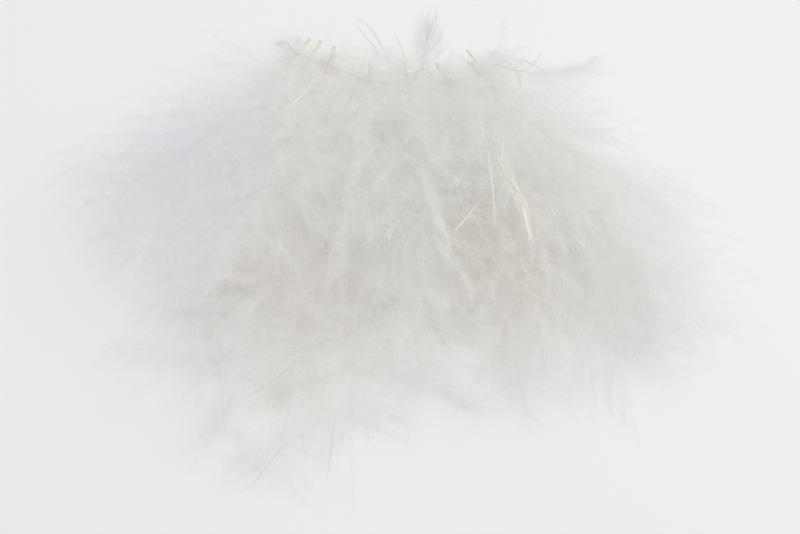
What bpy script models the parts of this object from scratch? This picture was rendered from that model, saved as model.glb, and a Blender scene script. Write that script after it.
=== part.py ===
"""A bunch of strung white marabou feathers, lying on a flat surface.

Soft down plumes are sewn side by side, by their quills, on one thread. The thread is folded, so the
plumes lie in three layers and fan out to the left, to the front and to the right.
Each feather is one solid: quill, shaft and down grew as one piece. The down is drawn as a soft
flattened body with pointed locks fused to its edges, its crest and its tip.

Metres, +Z up, +Y towards the sewn quills. The origin is the centre of the base of the whole bunch.
"""

import math
from collections import namedtuple

import bmesh
import bpy
from mathutils import Matrix, Vector

MM = 0.001

# Driving dimensions
QUILL_RADIUS = 0.8 * MM
BARE_QUILL = 9 * MM
THREAD_RADIUS = 0.45 * MM
KNOT_RADIUS = 1.3 * MM
STITCH_FROM_END = 6.5 * MM
MOST_STITCH_SHARE = 0.2
CLEARANCE = 0.35 * MM
FLARE = 0.24
TAPER_FROM = 0.70
LOCK_RADIUS = 2.5 * MM
LOCK_SIDES = 5
LOCK_ANGLE = math.radians(38)
LOCK_BEND = 1.5 * MM
SMALLEST_ANGLE = math.radians(12)
LOCKS_FROM = 0.42
LOCKS_TO = 0.84
CREST_ANGLE = math.radians(52)
CREST_LENGTH = 16 * MM
CREST_LEAN = 0.35
RINGS = 12

# The cross-section of the down, as shares of its half width and half height, with a flat underside
SECTION = ((1, 0), (0.72, 0.70), (0, 1), (-0.72, 0.70), (-1, 0), (-0.62, -1), (0.62, -1))

# root: the cut end of the quill; tip: the end of the down; bow: how far the shaft bends to its left
# and lift: how far it rises, both at mid length; reach: from the shaft to the points of the locks;
# pairs: locks on each side; crest: locks that stand up from the top. Lengths are in millimetres.
Feather = namedtuple("Feather", "root tip bow lift half_width half_height reach pairs crest")

BOTTOM_ROW = (
    Feather((-27.0, 56.0, 5.2), (-80.5, -48.0, 4.0), 5, 1.2, 13.0, 6.0, 18.0, 4, 0),
    Feather((-17.5, 57.0, 5.2), (-61.5, -80.0, 3.6), 3, 1.2, 12.5, 6.0, 16.0, 5, 0),
    Feather((-8.0, 56.5, 5.2), (-39.5, -94.0, 3.2), 1, 1.2, 11.5, 6.0, 15.0, 5, 0),
    Feather((2.0, 57.5, 5.2), (-12.5, -75.0, 3.6), -1, 1.2, 12.0, 6.0, 15.0, 4, 0),
    Feather((12.0, 56.0, 5.2), (19.5, -63.0, 4.0), -2, 1.2, 13.0, 6.0, 17.0, 4, 0),
    Feather((21.5, 57.0, 5.2), (52.0, -61.5, 4.0), -3, 1.2, 13.0, 6.0, 17.0, 4, 0),
    Feather((31.0, 56.0, 5.2), (90.0, -50.0, 4.0), -5, 1.2, 13.0, 6.0, 18.0, 4, 0),
)
MIDDLE_ROW = (
    Feather((-27.5, 76.0, 18.0), (-106.0, 14.5, 8.5), 9, 3.2, 12.5, 5.8, 19.0, 5, 0),
    Feather((-20.5, 75.0, 18.0), (-89.0, -19.0, 15.0), 6, 2.0, 13.0, 5.8, 17.0, 5, 0),
    Feather((-6.0, 67.0, 18.0), (-48.0, -37.0, 17.0), 2, 0.9, 14.0, 6.0, 19.0, 4, 0),
    Feather((6.0, 68.0, 18.0), (6.0, -47.0, 17.0), 0, 0.9, 14.0, 6.0, 19.0, 4, 0),
    Feather((18.0, 67.0, 18.0), (61.0, -47.0, 17.0), -3, 0.9, 14.0, 6.0, 19.0, 4, 0),
    Feather((30.0, 67.5, 18.0), (108.5, -29.0, 8.5), -6, 3.8, 13.5, 5.8, 19.0, 5, 0),
)
TOP_ROW = (
    Feather((-24.0, 69.0, 30.5), (-86.0, 33.0, 25.0), 9, 3.0, 12.0, 5.4, 17.0, 3, 2),
    Feather((-15.5, 66.5, 30.5), (-56.0, -20.0, 30.5), 3, 0.8, 13.5, 6.0, 18.0, 4, 3),
    Feather((-4.0, 59.5, 30.5), (-16.5, -23.0, 30.5), 1, 1.4, 13.0, 6.2, 17.0, 3, 3),
    Feather((7.5, 60.5, 30.5), (20.5, -23.0, 30.5), -1, 1.4, 13.0, 6.2, 17.0, 3, 3),
    Feather((13.0, 56.5, 29.0), (15.5, 68.0, 48.0), 0, -3.5, 6.5, 4.6, 9.5, 2, 0),
    Feather((18.5, 59.5, 30.5), (57.5, -8.5, 30.5), -3, 0.8, 13.5, 6.0, 18.0, 3, 3),
    Feather((28.5, 60.5, 30.5), (96.0, 5.0, 27.0), -5, 2.4, 13.0, 5.6, 18.0, 4, 2),
    Feather((37.0, 60.0, 30.5), (75.0, 67.5, 26.0), -7, 2.4, 8.0, 5.0, 11.0, 2, 1),
)

DOWN_WHITE = (0.90, 0.90, 0.875, 1.0)
THREAD_WHITE = (0.88, 0.87, 0.82, 1.0)


def clear_scene():
    for thing in list(bpy.data.objects):
        bpy.data.objects.remove(thing, do_unlink=True)


def make_material(name, colour, roughness):
    material = bpy.data.materials.new(name)
    material.use_nodes = True
    shader = material.node_tree.nodes["Principled BSDF"]
    shader.inputs["Base Color"].default_value = colour
    shader.inputs["Roughness"].default_value = roughness
    shader.inputs["Metallic"].default_value = 0.0
    return material


def smooth_step(value):
    value = min(max(value, 0.0), 1.0)
    return value * value * (3 - 2 * value)


class Shaft:
    """The centre line of a feather, a quadratic curve from the quill's end to the tip of the down."""

    def __init__(self, feather):
        self.start = Vector(feather.root) * MM
        self.end = Vector(feather.tip) * MM
        flat = (self.end - self.start) * Vector((1, 1, 0))
        left = Vector((-flat.y, flat.x, 0)).normalized()
        middle = (self.start + self.end) / 2
        self.control = middle + (left * feather.bow + Vector((0, 0, feather.lift))) * 2 * MM
        self.trace = [self.point(i / 60) for i in range(61)]
        self.bare_share = min(BARE_QUILL / flat.length, 0.28)

    def point(self, share):
        rest = 1 - share
        return self.start * rest**2 + self.control * 2 * rest * share + self.end * share**2

    def distance(self, point):
        """Distance from a point to the shaft, both seen from above."""
        return min(math.hypot(point.x - p.x, point.y - p.y) for p in self.trace)

    def axes(self, share):
        """Directions along the shaft, to its left and up from it."""
        along = (self.control - self.start) * (1 - share) + (self.end - self.control) * share
        along.normalize()
        left = Vector((0, 0, 1)).cross(along).normalized()
        return along, left, along.cross(left)


def down_profile(share, bare_share):
    """How full the down is along the shaft: none on the bare quill, soon full, then a narrow tip."""
    opening = smooth_step((share - bare_share) / FLARE)
    closing = 1 - 0.90 * smooth_step((share - TAPER_FROM) / (1 - TAPER_FROM)) ** 1.25
    return opening * closing


def room(point, shaft, neighbours):
    """How much nearer a point is to its own shaft than to the nearest neighbour's, seen from above."""
    return min(other.distance(point) for other in neighbours) - shaft.distance(point)


def loft(mesh, rings):
    """Joins rings of points with quads and closes both ends."""
    made = [[mesh.verts.new(point) for point in ring] for ring in rings]
    for first, second in zip(made, made[1:]):
        count = len(first)
        for i in range(count):
            j = (i + 1) % count
            mesh.faces.new((first[i], first[j], second[j], second[i]))
    mesh.faces.new(reversed(made[0]))
    mesh.faces.new(made[-1])


def body_rings(feather, shaft, neighbours, rests):
    """Rings of the quill and the down. The down fills its side of the gap to each neighbour, and that
    of a feather that rests on the surface is pressed flat against it."""
    rings = []
    for number in range(RINGS):
        share = number / (RINGS - 1)
        full = down_profile(share, shaft.bare_share)
        ripple = 1 + 0.07 * math.sin(5.1 * number + feather.root[0])
        half_height = QUILL_RADIUS + (feather.half_height * MM - QUILL_RADIUS) * full
        centre = shaft.point(share)
        along, left, up = shaft.axes(share)
        widths = {}
        for side in (1, -1):
            width = QUILL_RADIUS + (feather.half_width * MM - QUILL_RADIUS) * full * ripple
            edge = centre + left * side * width
            while width > QUILL_RADIUS and room(edge, shaft, neighbours) < CLEARANCE:
                width -= 0.1 * MM
                edge = centre + left * side * width
            widths[side] = width
        ring = []
        for a, b in SECTION:
            point = centre + left * widths[1 if a > 0 else -1] * a + up * half_height * b
            if rests:
                point.z = max(point.z, 0.0)
            ring.append(point)
        rings.append(ring)
    return rings


def add_lock(mesh, base, direction, length, radius, bend):
    """A pointed lock of down: a spike whose first half is straight and whose point is bent."""
    side = direction.cross(Vector((0, 0, 1))).normalized()
    up = side.cross(direction)
    rings = []
    for share in (0.0, 0.5):
        centre = base + direction * length * share
        ring = []
        for i in range(LOCK_SIDES):
            angle = 2 * math.pi * i / LOCK_SIDES
            ring.append(centre + (side * math.cos(angle) + up * math.sin(angle)) * radius)
        rings.append([mesh.verts.new(point) for point in ring])
    tip = mesh.verts.new(base + direction * length + bend)
    for i in range(LOCK_SIDES):
        j = (i + 1) % LOCK_SIDES
        mesh.faces.new((rings[0][j], rings[0][i], rings[1][i], rings[1][j]))
        mesh.faces.new((rings[1][j], rings[1][i], tip))
    mesh.faces.new(rings[0])


def add_side_locks(mesh, feather, shaft, neighbours):
    """Locks along both edges, from inside the down outwards and towards the tip. Where a neighbour is
    near, a lock leans further towards the tip."""
    step = (LOCKS_TO - LOCKS_FROM) / (feather.pairs - 1)
    for side in (1, -1):
        for number in range(feather.pairs):
            share = LOCKS_FROM + step * number + (0.05 if side > 0 else 0.0)
            full = down_profile(share, shaft.bare_share)
            along, left, up = shaft.axes(share)
            inner = 0.35 * feather.half_width * MM * full
            outer = feather.reach * MM * (0.62 + 0.38 * full)
            radius = LOCK_RADIUS * (0.55 + 0.25 * full) * min(1, feather.half_height / 5)
            base = shaft.point(share) + left * side * inner + up * 0.4 * MM
            length = (outer - inner) / math.sin(LOCK_ANGLE)
            angle = LOCK_ANGLE
            while angle > SMALLEST_ANGLE:
                direction = along * math.cos(angle) + left * side * math.sin(angle)
                middle = base + direction * length * 0.5
                tip = base + direction * length + along * LOCK_BEND
                middle_fits = room(middle, shaft, neighbours) > 2 * radius + CLEARANCE
                if middle_fits and room(tip, shaft, neighbours) > 2 * CLEARANCE:
                    add_lock(mesh, base, direction, length, radius, along * LOCK_BEND)
                    break
                angle -= math.radians(2)


def add_crest_locks(mesh, feather, shaft):
    """Locks that stand up from the top of the down and lean towards the tip, left and right by turns."""
    for number in range(feather.crest):
        share = 0.38 + 0.20 * number
        along, left, up = shaft.axes(share)
        lean = CREST_LEAN if number % 2 else -CREST_LEAN
        direction = along * math.cos(CREST_ANGLE) + up * math.sin(CREST_ANGLE) + left * lean
        base = shaft.point(share) + left * lean * 2 * LOCK_RADIUS
        add_lock(mesh, base, direction.normalized(), CREST_LENGTH, 0.8 * LOCK_RADIUS, along * LOCK_BEND)


def mesh_object(name, build):
    """A new object whose mesh is made by a function that fills a bmesh."""
    editing = bmesh.new()
    build(editing)
    bmesh.ops.recalc_face_normals(editing, faces=editing.faces)
    mesh = bpy.data.meshes.new(name)
    editing.to_mesh(mesh)
    editing.free()
    made = bpy.data.objects.new(name, mesh)
    bpy.context.scene.collection.objects.link(made)
    return made


def make_feather(name, feather, neighbours, rests, material):
    """One feather: the lofted quill and down, with its locks fused on by one Boolean union."""
    shaft = Shaft(feather)
    made = mesh_object(name, lambda mesh: loft(mesh, body_rings(feather, shaft, neighbours, rests)))

    def build_locks(mesh):
        add_side_locks(mesh, feather, shaft, neighbours)
        add_crest_locks(mesh, feather, shaft)

    locks = mesh_object(name + "_locks", build_locks)
    union = made.modifiers.new("Locks", "BOOLEAN")
    union.operation = "UNION"
    union.object = locks
    union.solver = "EXACT"
    union.use_self = True
    bpy.context.view_layer.update()
    evaluated = made.evaluated_get(bpy.context.evaluated_depsgraph_get())
    fused = bpy.data.meshes.new_from_object(evaluated)
    made.modifiers.clear()
    made.data = fused
    bpy.data.objects.remove(locks, do_unlink=True)
    fused.materials.clear()
    fused.materials.append(material)
    fused.shade_smooth()
    return made


def stitch_points(row):
    """Where the thread crosses each quill of a row: over one, under the next."""
    points = []
    side = 1
    off_quill = QUILL_RADIUS + THREAD_RADIUS + CLEARANCE
    for feather in row:
        shaft = Shaft(feather)
        share = min(STITCH_FROM_END / (shaft.end - shaft.start).length, MOST_STITCH_SHARE)
        along, left, up = shaft.axes(share)
        points.append(shaft.point(share) + up * side * off_quill)
        side = -side
    return points


def smooth_curve(points, step):
    """Points read every step or so from a smooth (Catmull-Rom) curve through the given ones."""
    ends = [points[0] * 2 - points[1], *points, points[-1] * 2 - points[-2]]
    read = []
    for a, b, c, d in zip(ends, ends[1:], ends[2:], ends[3:]):
        slope = c - a
        square = a * 2 - b * 5 + c * 4 - d
        cube = b * 3 - a - c * 3 + d
        count = max(2, round((c - b).length / step))
        for i in range(count):
            t = i / count
            read.append(b + (slope * t + square * t**2 + cube * t**3) / 2)
    read.append(points[-1])
    return read


def thread_route():
    """The thread sews the bottom row from left to right, the middle row back, and the top row again,
    where it passes behind the last tuft's quill to cross it squarely."""
    bottom = stitch_points(BOTTOM_ROW)
    middle = stitch_points(MIDDLE_ROW)[::-1]
    top = stitch_points(TOP_ROW)
    right_fold = [Vector(p) * MM for p in ((38.0, 54.5, 5.5), (42.0, 59.5, 10.5), (38.5, 65.0, 16.5))]
    left_fold = [Vector(p) * MM for p in ((-33.0, 73.0, 18.5), (-34.5, 71.0, 24.5), (-31.0, 68.0, 30.0))]
    top.insert(-1, Vector((36.5, 64.5, 30.5)) * MM)
    first_end = bottom[0] + Vector((-7.0, 1.0, 0.0)) * MM
    last_end = top[-1] + Vector((1.5, -5.5, 0.5)) * MM
    return [first_end, *bottom, *right_fold, *middle, *left_fold, *top, last_end]


def make_thread(material):
    """The sewing thread, with a small knot at each end."""
    points = smooth_curve(thread_route(), 6 * THREAD_RADIUS)
    curve = bpy.data.curves.new("thread", "CURVE")
    curve.dimensions = "3D"
    curve.bevel_depth = THREAD_RADIUS
    curve.bevel_resolution = 1
    curve.use_fill_caps = True
    spline = curve.splines.new("POLY")
    spline.points.add(len(points) - 1)
    for place, point in zip(spline.points, points):
        place.co = (*point, 1.0)
    for end in (1, -2):
        spline.points[end].radius = KNOT_RADIUS / THREAD_RADIUS
    made = bpy.data.objects.new("thread", curve)
    bpy.context.scene.collection.objects.link(made)
    curve.materials.append(material)
    return made


def centre_on_base(made):
    """Moves everything so that the origin is the centre of the base of the whole bunch."""
    bpy.context.view_layer.update()
    corners = [Vector(corner) for one in made for corner in one.bound_box]
    low = Vector(map(min, zip(*corners)))
    high = Vector(map(max, zip(*corners)))
    shift = Vector(((low.x + high.x) / 2, (low.y + high.y) / 2, low.z))
    for one in made:
        one.data.transform(Matrix.Translation(-shift))


def main():
    clear_scene()
    down = make_material("white down", DOWN_WHITE, 0.85)
    cotton = make_material("off-white cotton thread", THREAD_WHITE, 0.8)
    rows = (("bottom", BOTTOM_ROW), ("middle", MIDDLE_ROW), ("top", TOP_ROW))
    made = []
    for row_name, row in rows:
        shafts = [Shaft(feather) for feather in row]
        for number, feather in enumerate(row):
            neighbours = shafts[:number] + shafts[number + 1 :]
            name = f"{row_name}_feather_{number + 1}"
            made.append(make_feather(name, feather, neighbours, row_name == "bottom", down))
    made.append(make_thread(cotton))
    centre_on_base(made)


main()
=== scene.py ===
# %% [markdown]
# # A bunch of strung marabou
#
# Marabou is soft white down from a turkey. Each plume has a thin bendy shaft, and both sides of the
# shaft carry long limp barbs. Every barb carries finer hairs, the barbules, and they are what makes the
# fluff. The plumes are sold sewn side by side on a thread, and here such a string lies folded in three
# rows on a white table.
#
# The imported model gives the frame: a plain closed solid for every plume and for the thread. A fur
# texture on the solids would leave their edges hard, so this notebook replaces each solid with the real
# thing, hair by hair, in the same place.

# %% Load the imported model
import math
from collections import namedtuple
from types import SimpleNamespace

import bpy
import numpy as np
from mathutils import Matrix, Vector


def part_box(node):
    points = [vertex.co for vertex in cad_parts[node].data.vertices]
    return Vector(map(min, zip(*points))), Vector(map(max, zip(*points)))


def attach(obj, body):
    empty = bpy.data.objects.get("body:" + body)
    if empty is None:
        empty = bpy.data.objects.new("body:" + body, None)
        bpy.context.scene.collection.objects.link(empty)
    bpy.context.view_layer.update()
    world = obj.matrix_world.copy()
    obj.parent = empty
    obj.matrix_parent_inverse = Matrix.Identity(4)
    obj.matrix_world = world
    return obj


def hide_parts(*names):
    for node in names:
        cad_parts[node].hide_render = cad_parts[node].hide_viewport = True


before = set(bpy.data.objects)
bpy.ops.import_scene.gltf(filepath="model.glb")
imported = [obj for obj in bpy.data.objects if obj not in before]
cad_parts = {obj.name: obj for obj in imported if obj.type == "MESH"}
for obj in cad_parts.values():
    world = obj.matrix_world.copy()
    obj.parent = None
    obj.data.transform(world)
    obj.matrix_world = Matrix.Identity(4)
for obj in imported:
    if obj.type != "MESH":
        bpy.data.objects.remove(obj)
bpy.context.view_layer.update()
print("nodes in the frame:", len(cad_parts))

# %% [markdown]
# ## Where each plume lies
#
# A plume is laid out by the two ends of its shaft and by how far the shaft bends to its left and rises
# at mid length. They could be read off the solids' meshes, but a few numbers for each plume say it more
# plainly. The same rows of numbers drew the solids, in millimetres from the place where the bunch was
# laid out, so they are moved to the middle of the bunch's base first.

# %% The plumes of the three rows
MM = 0.001
BASE_CENTRE = np.array((3.389, -8.461, 0.0))

# barb: length of the longest barbs; fill: how many of them; rise: how far they lift out of the
# plume's plane; flare: how far those at the root stand back over the quill; comb: the way in which
# their ends are swept, across and along the table
Plume = namedtuple("Plume", "root tip bow lift barb fill rise flare comb")

ROWS = {
    "bottom": (
        Plume((-27.0, 56.0, 5.2), (-80.5, -48.0, 4.0), 5, 1.2, 32, 1.05, 0.0, 0.0, (-0.45, -0.08)),
        Plume((-17.5, 57.0, 5.2), (-61.5, -80.0, 3.6), 3, 1.2, 31, 0.9, 0.0, 0.0, (-0.1, 0.0)),
        Plume((-8.0, 56.5, 5.2), (-39.5, -94.0, 3.2), 1, 1.2, 28, 1.1, 0.0, 0.0, (0.1, 0.15)),
        Plume((2.0, 57.5, 5.2), (-12.5, -75.0, 3.6), -1, 1.2, 31, 1.15, 0.0, 0.0, (-0.25, -0.1)),
        Plume((12.0, 56.0, 5.2), (19.5, -63.0, 4.0), -2, 1.2, 30, 1.1, 0.0, 0.0, (0.0, 0.0)),
        Plume((21.5, 57.0, 5.2), (52.0, -61.5, 4.0), -3, 1.2, 28, 1.1, 0.0, 0.0, (0.35, 0.25)),
        Plume((31.0, 56.0, 5.2), (90.0, -50.0, 4.0), -5, 1.2, 36, 1.6, 0.0, 0.0, (0.5, 0.0)),
    ),
    "middle": (
        Plume((-27.5, 76.0, 18.0), (-106.0, 14.5, 8.5), 9, 3.2, 36, 1.2, 0.0, 0.0, (-0.7, -0.3)),
        Plume((-20.5, 75.0, 18.0), (-89.0, -19.0, 15.0), 6, 2.0, 29, 1.15, 0.0, 0.2, (-0.25, -0.1)),
        Plume((-6.0, 67.0, 18.0), (-48.0, -37.0, 17.0), 2, 0.9, 35, 1.45, 0.0, 0.3, (-0.1, -0.2)),
        Plume((6.0, 68.0, 18.0), (6.0, -47.0, 17.0), 0, 0.9, 35, 1.3, 0.0, 0.3, (0.0, -0.4)),
        Plume((18.0, 67.0, 18.0), (61.0, -47.0, 17.0), -3, 0.9, 36, 1.35, 0.0, 0.3, (0.1, -0.4)),
        Plume((30.0, 67.5, 18.0), (108.5, -29.0, 8.5), -6, 3.8, 43, 1.9, 0.0, 0.2, (0.55, -0.35)),
    ),
    "top": (
        Plume((-24.0, 69.0, 30.5), (-86.0, 33.0, 25.0), 9, 3.0, 31, 1.35, 0.1, 0.15, (-0.55, -0.25)),
        Plume((-15.5, 66.5, 30.5), (-56.0, -20.0, 30.5), 3, 0.8, 33, 1.3, 0.1, 0.6, (-0.1, -0.1)),
        Plume((-4.0, 59.5, 30.5), (-16.5, -23.0, 30.5), 1, 1.4, 32, 1.15, 0.1, 1.0, (0.0, -0.1)),
        Plume((7.5, 60.5, 30.5), (20.5, -23.0, 30.5), -1, 1.4, 33, 1.35, 0.15, 1.0, (0.3, -0.1)),
        Plume((13.0, 56.5, 29.0), (15.5, 68.0, 48.0), 0, -3.5, 18, 0.65, 0.0, 0.0, (0.0, 0.1)),
        Plume((18.5, 59.5, 30.5), (57.5, -8.5, 30.5), -3, 0.8, 35, 1.45, 0.15, 0.8, (-0.2, -0.15)),
        Plume((28.5, 60.5, 30.5), (96.0, 5.0, 27.0), -5, 2.4, 42, 1.85, 0.1, 0.45, (0.6, 0.0)),
        Plume((37.0, 60.0, 30.5), (75.0, 67.5, 26.0), -7, 2.4, 18, 0.8, 0.0, 0.0, (0.3, -0.1)),
    ),
}


def all_plumes():
    """Row number, number in the row, name of the solid and the plume itself, one after another."""
    for row_number, (row_name, row) in enumerate(ROWS.items()):
        for number, plume in enumerate(row, 1):
            yield row_number, number, f"{row_name}_feather_{number}", plume


print("plumes:", len(list(all_plumes())))

# %% [markdown]
# ## The shaft as a curve
#
# A shaft is springy and bends in one sweep. A curve object could draw it, but the barbs need its place
# and its direction at any point, so it is a formula here: a quadratic curve leaves the root towards a
# control point and arrives at the tip from it. Three directions travel along it, forwards, to its left
# and up, and everything that grows on the shaft is placed by them.

# %% Centre line of a shaft
UP = (0.0, 0.0, 1.0)


def unit(vectors):
    """Each vector divided by its length."""
    return vectors / np.linalg.norm(vectors, axis=-1, keepdims=True)


class Shaft:
    """Point(s) = (1-s)^2 root + 2s(1-s) control + s^2 tip, with s from 0 at the root to 1 at the tip."""

    def __init__(self, plume):
        self.root = (np.array(plume.root) - BASE_CENTRE) * MM
        self.tip = (np.array(plume.tip) - BASE_CENTRE) * MM
        flat = (self.tip - self.root) * (1, 1, 0)
        self.flat_length = np.linalg.norm(flat)
        left = np.array((-flat[1], flat[0], 0)) / self.flat_length
        bend = left * plume.bow + np.array((0, 0, plume.lift))
        self.control = (self.root + self.tip) / 2 + bend * 2 * MM

    def point(self, share):
        s = np.asarray(share)[:, None]
        return self.root * (1 - s) ** 2 + self.control * 2 * s * (1 - s) + self.tip * s**2

    def axes(self, share):
        """Unit vectors forwards (the curve's slope), left (level) and up (square to both)."""
        s = np.asarray(share)[:, None]
        along = unit((self.control - self.root) * (1 - s) + (self.tip - self.control) * s)
        left = unit(np.cross(UP, along))
        return along, left, np.cross(along, left)


# %% Do the shafts lie in their solids?
outside = []
for row_number, number, node, plume in all_plumes():
    low, high = (np.array(corner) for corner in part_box(node))
    root = Shaft(plume).root
    outside.append(max((low - root).max(), (root - high).max(), 0.0))
print("furthest root outside its solid's box, mm:", round(max(outside) / MM, 2))

# %% [markdown]
# ## Where the barbs start
#
# Barbs sit on both sides of the shaft, from the end of the bare quill almost to the tip. They are limp
# and cling together, so down ends in soft locks and not in single hairs. Hair particles could draw all
# this, but they are lost when the model leaves Blender, so the barbs are worked out with arrays, in
# small steps that end in a mesh. The first step deals out the starts and the locks. Each lock draws
# random numbers that its barbs share, so that they lean, turn and wave alike.

# %% Start and lock of each barb
BARE_QUILL = 5 * MM
MOST_BARE_SHARE = 0.2
BARBS_END = 0.85
LOCKS_A_SIDE = 15
LONGEST_TUFT = 60 * MM
LOW_ROW, HIGH_ROW = 5.0, 30.0

# chance 0 opens the barbs of a lock, 1 rolls them, 2 makes them longer, 3 to 5 wave them, 4 to 6 curl
# them and 6 also says how much they cling; 7 is spare
CHANCES = 8


def ramp(value, start, end):
    """0 before start, 1 after end, and a smooth S between them."""
    t = np.clip((value - start) / (end - start), 0, 1)
    return t * t * (3 - 2 * t)


def smooth_noise(places, waves, rng):
    """A smooth random value for each place: a sum of three sines of random phase."""
    total = 0
    for k in (1.0, 1.9, 3.1):
        total = total + np.sin(places * waves * k + rng.uniform(0, 2 * math.pi)) / k
    return total / 1.8


def start_barbs(shaft, plume, count, rng):
    """Barbs in order from quill to tip, left and right by turns. Their place on the shaft is the end of
    the bare quill + the rest x order^p, where p over 1 crowds a flared plume's barbs near its quill.
    A lock is a fifteenth of one side, with uneven borders."""
    order = (np.arange(count) + rng.uniform(0.1, 0.9, count)) / count
    side = np.where(np.arange(count) % 2, 1.0, -1.0)
    shift = smooth_noise(order, 30, rng) * 0.35
    lock = np.maximum(np.floor(order * LOCKS_A_SIDE + np.where(side > 0, 0.0, 0.5) + shift), 0)
    lock = (lock * 2 + (side > 0)).astype(int)
    bare = min(BARE_QUILL / shaft.flat_length, MOST_BARE_SHARE)
    return SimpleNamespace(
        count=count,
        order=order,
        side=side,
        lock=lock,
        chance=rng.normal(0, 1, (lock.max() + 1, CHANCES))[lock],
        bare=bare,
        share=bare + (BARBS_END - bare) * order ** (1.0 + 0.7 * plume.flare),
        near_root=1 - ramp(order, 0.0, 0.25),
        upper=np.interp(plume.root[2], (LOW_ROW, HIGH_ROW), (0.0, 1.0)),
        tuft=shaft.flat_length < LONGEST_TUFT,
    )


sample_plume = ROWS["top"][3]
sample_rng = np.random.default_rng(1)
sample = start_barbs(Shaft(sample_plume), sample_plume, 190, sample_rng)
print("sample plume, barbs:", sample.count, "locks:", len(np.unique(sample.lock)))

# %% [markdown]
# ## Which way the barbs set off
#
# Two angles say how a barb leaves the shaft. The opening angle is wide at the quill and narrow at the
# tip, as on any feather. The roll turns the barb around the shaft: at 0 it is level, at a quarter turn
# it stands up. A tidy fan would need no chance at all, but real down is messy, so both angles are
# spread widely. On a tuft the barbs stay close to the shaft, like a brush.

# %% Opening angle and roll
def turn_barbs(barbs, shaft, plume, rng):
    """Opening = 88 degrees, less up to 36 towards the tip, more near a flared root, less where a barb
    would point away from the fan, plus chance. Roll = chance + the plume's rise, more near its root."""
    order, near_root, chance = barbs.order, barbs.near_root, barbs.chance
    to_back = np.clip(shaft.axes(barbs.share)[1][:, 1] * barbs.side, 0, 1)
    if barbs.tuft:
        opening = np.radians(60 - 30 * order) * (1 - 0.7 * to_back)
    else:
        opening = np.radians(88 - (16 + 20 * barbs.upper) * order**1.5 + 50 * plume.flare * near_root)
        opening = opening * (1 - 0.7 * to_back * (1 - ramp(order, 0.0, 0.8)) * (1 - plume.flare))
    opening = opening + rng.normal(0, 1, barbs.count) * np.radians(11 + 9 * order)
    roll = rng.normal(0, 1, barbs.count) * np.radians(42 + 20 * near_root)
    barbs.opening = opening + chance[:, 0] * np.radians(9)
    barbs.roll = roll + chance[:, 1] * np.radians(24) + plume.rise + 0.6 * plume.flare * near_root


turn_barbs(sample, Shaft(sample_plume), sample_plume, sample_rng)
print("sample plume, mean opening in degrees:", np.degrees(sample.opening).mean().round())

# %% [markdown]
# ## Barbs that cover the shaft and the quill
#
# With barbs on two sides only, the shafts would show as bare lines on the upper rows. On the real bunch
# some barbs lie along the shaft on top of it, and at the end of the bare quill there is a puff of short
# ones, the after-plume, that hides the roots. Thicker down everywhere would hide them too, but with
# many more faces. Both are barbs like the others, with other angles.

# %% Covering barbs and after-plume
COVERING = 0.28
AFTER_PLUME = 0.16


def cover_shaft(barbs, plume, rng):
    """A share of the barbs rolls up to 55 to 105 degrees and opens to 0.4 of its angle."""
    likely = COVERING * (0.2 + 0.8 * barbs.upper) * (1 - barbs.near_root * plume.flare) * (not barbs.tuft)
    covers = rng.random(barbs.count) < likely
    upright = rng.uniform(math.radians(55), math.radians(105), barbs.count)
    barbs.roll = np.where(covers, upright, barbs.roll)
    barbs.opening = np.where(covers, barbs.opening * 0.4, barbs.opening)


def add_after_plume(barbs, shaft, rng):
    """A share of the barbs moves to within 6 mm of the bare quill's end, and points any way upwards."""
    count = barbs.count
    barbs.after = rng.random(count) < AFTER_PLUME * barbs.upper * (not barbs.tuft)
    near_quill = barbs.bare + rng.uniform(-1.5, 6, count) * MM / shaft.flat_length
    upwards = rng.uniform(math.radians(15), math.radians(165), count)
    wide = rng.uniform(math.radians(55), math.radians(118), count)
    barbs.share = np.where(barbs.after, near_quill, barbs.share)
    barbs.roll = np.where(barbs.after, upwards, barbs.roll)
    barbs.opening = np.where(barbs.after, wide, barbs.opening)


cover_shaft(sample, sample_plume, sample_rng)
add_after_plume(sample, Shaft(sample_plume), sample_rng)
print("sample plume, barbs in the after-plume:", sample.after.sum())

# %% [markdown]
# ## How long the barbs are
#
# The longest barbs grow past the first third of the plume. Some outgrow their lock and stand out of
# the edge as fine whiskers. Lengths could all be drawn at random, but then no lock would have a point
# of its own, so a part of the chance belongs to the lock.

# %% Lengths
WHISKERS = 0.18
WHISKER_LENGTH = 1.36
AFTER_PLUME_LENGTH = 0.4


def measure_barbs(barbs, plume, rng):
    """Length = longest x (0.66 at the quill, 1 from 0.3 on, 0.88 at the tip) x chance. On a tuft it also
    falls to a half towards the tip."""
    order, near_root = barbs.order, barbs.near_root
    likely = WHISKERS * (1.5 - 0.5 * barbs.upper) * (0.6 + order)
    barbs.whisker = rng.random(barbs.count) < likely
    length = plume.barb * MM * (0.66 + 0.34 * ramp(order, 0.0, 0.3)) * (1 - 0.12 * ramp(order, 0.6, 1.0))
    length = length * (1 - 0.2 * plume.flare * near_root)
    length = length * rng.uniform(0.74, 1.06, barbs.count) * (1 + 0.09 * barbs.chance[:, 2])
    length = length * np.where(barbs.whisker, WHISKER_LENGTH, 1.0)
    barbs.length = length * (1 - 0.5 * order * barbs.tuft) * np.where(barbs.after, AFTER_PLUME_LENGTH, 1.0)


measure_barbs(sample, sample_plume, sample_rng)
print("sample plume, longest barb in mm:", (sample.length.max() / MM).round(1))

# %% [markdown]
# ## The path of a barb
#
# A barb is a limp blade: it turns towards the plume's tip, sags, waves a little and curls. Gravity could
# be simulated, but thousands of hairs take long, and a formula for the direction does as well. The
# direction is known at each of ten places on the barb, and steps in those directions add up to the path.

# %% Paths from directions
STEPS = 10
SAG = 0.45


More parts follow.
